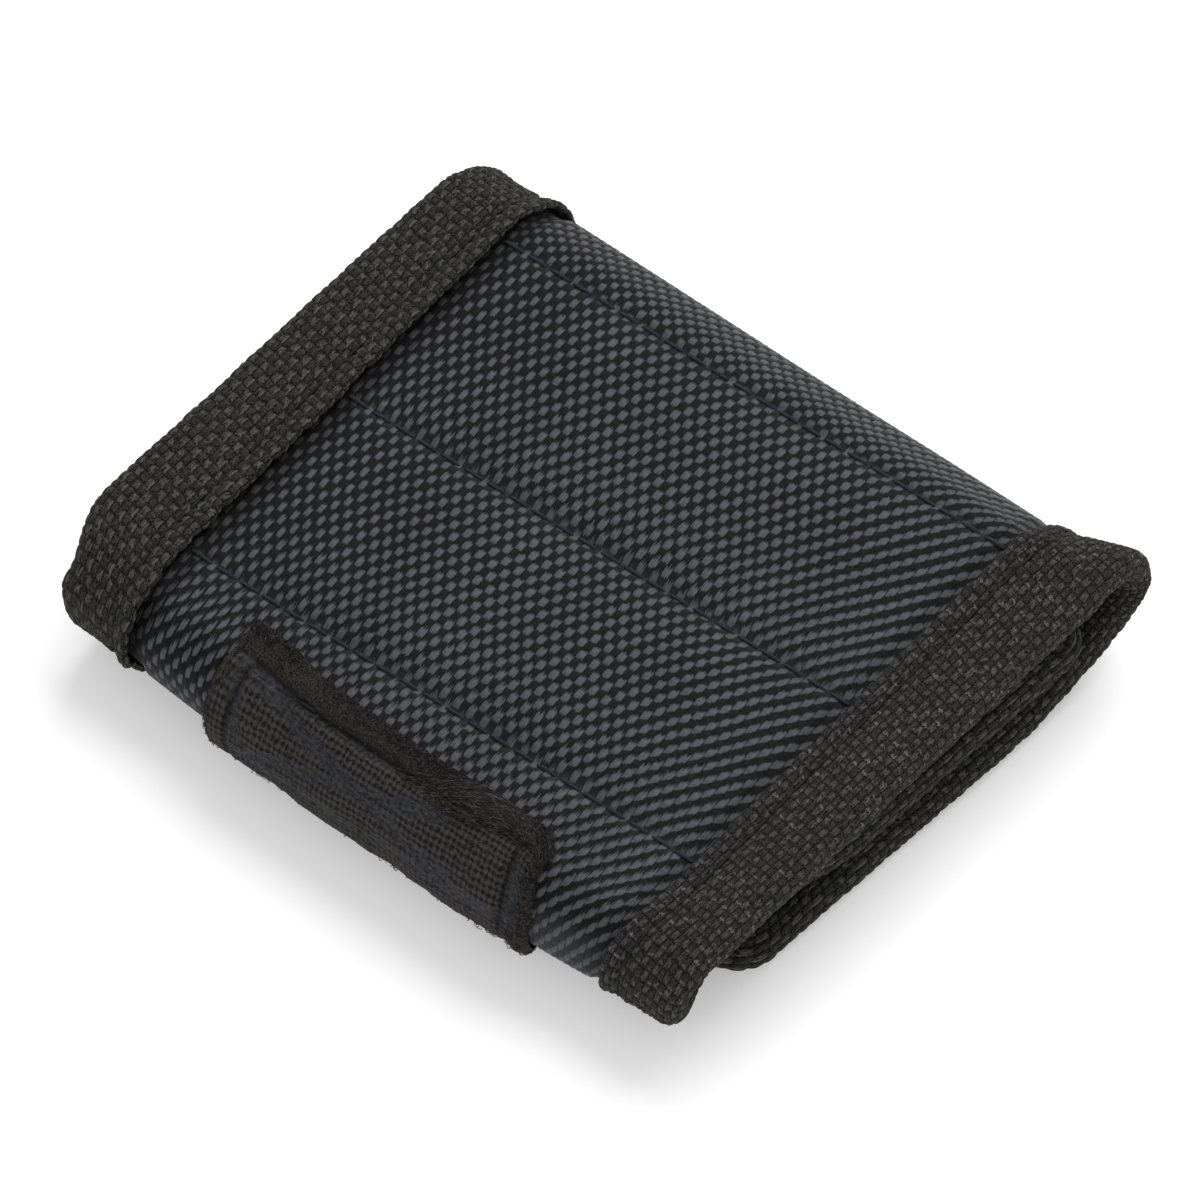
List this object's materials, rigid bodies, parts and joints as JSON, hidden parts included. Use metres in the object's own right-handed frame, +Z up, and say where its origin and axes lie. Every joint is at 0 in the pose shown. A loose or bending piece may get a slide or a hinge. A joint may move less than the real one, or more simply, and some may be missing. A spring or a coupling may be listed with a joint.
{
  "type": "magnetic wristband",
  "caption": "Padded wristband rolled flat, with magnets in sewn pockets, bound edges and a hook-and-loop closure that peels open and unrolls at its folds.",
  "frame": {"origin": "middle of the rolled band's outer box, on the table under the flap", "axes": "+X along the rolled strip from the left fold to the right fold, +Y across the strip, +Z up"},
  "size_m": [0.0804, 0.09, 0.0192],
  "materials": {
    "ballistic_nylon": "coarse plain-woven nylon with a slight bluish sheen",
    "binding_webbing": "coarse matt woven webbing",
    "lining": "soft knitted mesh",
    "padding": "closed-cell foam sheet",
    "magnet": "nickel-plated plate",
    "hook_tape": "stiff nylon hooks on woven tape",
    "loop_tape": "brushed nylon loops on woven tape",
    "thread": "bonded sewing thread"
  },
  "bodies": {
    "closure_flap": {"flap_outer_fabric": "ballistic_nylon", "flap_lining": "lining", "flap_padding_end": "padding", "flap_padding_pocket": "padding", "flap_binding": "binding_webbing", "hook_patch": "hook_tape", "hook_patch_seam": "thread", "flap_magnet_1": "magnet", "flap_magnet_2": "magnet", "flap_magnet_3": "magnet", "flap_seam_1": "thread", "flap_seam_2": "thread"},
    "right_fold": {"fold_outer_fabric": "ballistic_nylon", "fold_lining": "lining", "fold_padding": "padding", "fold_binding_right": "binding_webbing", "fold_binding_left": "binding_webbing"},
    "top_panel": {"top_outer_fabric": "ballistic_nylon", "top_lining": "lining", "top_padding_1": "padding", "top_padding_2": "padding", "top_binding_right": "binding_webbing", "top_binding_left": "binding_webbing", "top_binding_seam_right": "thread", "top_binding_seam_left": "thread", "top_magnet_1": "magnet", "top_magnet_2": "magnet", "top_magnet_3": "magnet", "top_magnet_4": "magnet", "top_magnet_5": "magnet", "top_magnet_6": "magnet", "pocket_seam_1": "thread", "pocket_seam_2": "thread", "pocket_seam_3": "thread"},
    "tongue": {"tongue_outer_fabric": "ballistic_nylon", "tongue_lining": "lining", "tongue_padding_fold": "padding", "tongue_padding": "padding", "tongue_binding": "binding_webbing", "loop_patch": "loop_tape", "loop_patch_seam": "thread"}
  },
  "joints": [
    {"name": "closure_open", "type": "hinge", "parent": "closure_flap", "child": "right_fold", "pos_m": [0.03768, 0, 0.0028], "axis": [0, 1, 0], "range_deg": [0, 90]},
    {"name": "fold_unroll", "type": "hinge", "parent": "right_fold", "child": "top_panel", "pos_m": [0.03719, 0, 0.01667], "axis": [0, 1, 0], "range_deg": [0, 90]},
    {"name": "tongue_relax", "type": "hinge", "parent": "top_panel", "child": "tongue", "pos_m": [-0.02848, 0, 0.01503], "axis": [0, 1, 0], "range_deg": [0, 45]}
  ],
  "couplings": [
    {"joint": "fold_unroll", "follows": "closure_open", "ratio": 1},
    {"joint": "tongue_relax", "follows": "closure_open", "ratio": 0.5}
  ]
}
